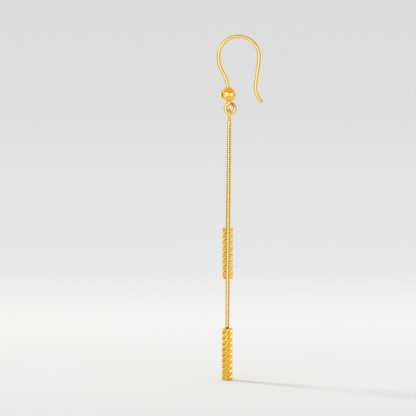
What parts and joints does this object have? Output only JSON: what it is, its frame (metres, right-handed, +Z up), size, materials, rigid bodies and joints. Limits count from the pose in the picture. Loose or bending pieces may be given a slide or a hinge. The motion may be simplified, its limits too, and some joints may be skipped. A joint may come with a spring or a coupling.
{
  "type": "drop earring",
  "caption": "Gold drop earring: open wire hook with ball bead and turned eye, jump ring, a short and a long snake chain, each ending in a square tube bar with slanting cuts.",
  "frame": {"origin": "inside top of the hook's arch, where the wire lies in the ear's piercing and the earring hangs", "axes": "+Z up, -X towards the front of the ear (bead side), +X towards the back (hook's tail), the long chain hangs on the -Y side"},
  "size_m": [0.0099, 0.0039, 0.0747],
  "materials": {
    "hook_gold": "polished pale yellow gold wire",
    "bead_gold": "mirror-polished yellow gold",
    "ring_gold": "polished yellow gold with soldered joins",
    "chain_gold": "polished snake chain plates",
    "bar_gold": "bright-cut yellow gold facets"
  },
  "bodies": {
    "root": {"ear_hook": "hook_gold", "hook_bead": "bead_gold", "jump_ring": "ring_gold", "long_chain": "chain_gold", "short_chain": "chain_gold", "long_bar": "bar_gold", "short_bar": "bar_gold"}
  },
  "joints": []
}
